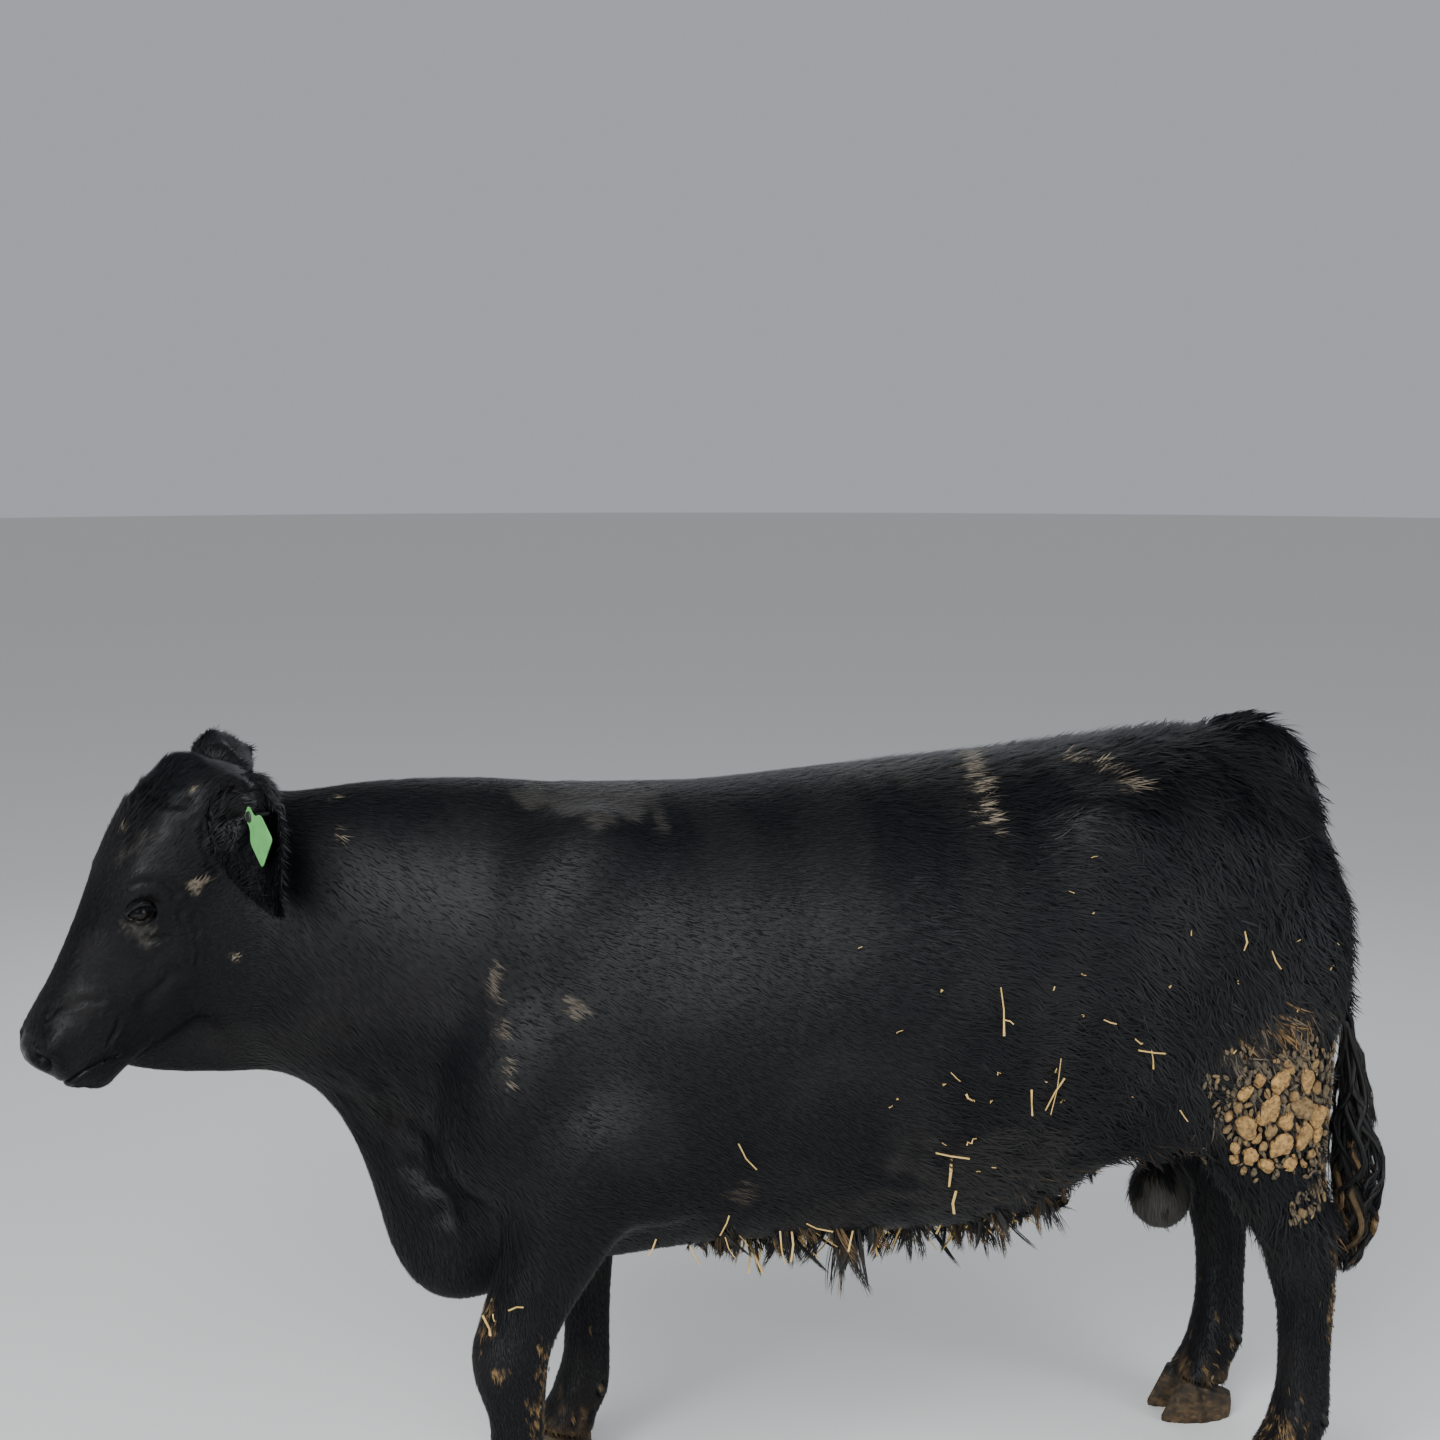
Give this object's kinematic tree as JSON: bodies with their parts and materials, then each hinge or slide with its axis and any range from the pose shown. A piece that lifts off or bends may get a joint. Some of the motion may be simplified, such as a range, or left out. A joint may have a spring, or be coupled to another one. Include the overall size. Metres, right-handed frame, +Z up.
{
  "type": "angus bull",
  "caption": "Still life-size model of a black polled beef bull, standing square with its head low and turned aside, wearing a bare green ear tag.",
  "frame": {"origin": "on the ground under the middle of the whole animal", "axes": "+Z up, head towards -X, the animal's left side towards -Y"},
  "size_m": [2.1471, 0.6496, 1.296],
  "materials": {
    "hide": "short black coat with a soft sheen",
    "long_hair": "long black hair, dusty at the ends",
    "horn": "dark horn, dull",
    "eye": "wet dark eye",
    "tag": "light green flexible plastic"
  },
  "bodies": {
    "root": {"head": "hide", "ear_left": "hide", "ear_right": "hide", "eye_left": "eye", "eye_right": "eye", "ear_tag": "tag", "neck": "hide", "torso": "hide", "scrotum": "hide", "tail": "hide", "tail_switch": "long_hair", "foreleg_left_upper": "hide", "foreleg_left_lower": "hide", "foreleg_left_claw_a": "horn", "foreleg_left_claw_b": "horn", "foreleg_left_dewclaw_a": "horn", "foreleg_left_dewclaw_b": "horn", "foreleg_right_upper": "hide", "foreleg_right_lower": "hide", "foreleg_right_claw_a": "horn", "foreleg_right_claw_b": "horn", "foreleg_right_dewclaw_a": "horn", "foreleg_right_dewclaw_b": "horn", "hindleg_left_upper": "hide", "hindleg_left_lower": "hide", "hindleg_left_claw_a": "horn", "hindleg_left_claw_b": "horn", "hindleg_left_dewclaw_a": "horn", "hindleg_left_dewclaw_b": "horn", "hindleg_right_upper": "hide", "hindleg_right_lower": "hide", "hindleg_right_claw_a": "horn", "hindleg_right_claw_b": "horn", "hindleg_right_dewclaw_a": "horn", "hindleg_right_dewclaw_b": "horn"}
  },
  "joints": []
}
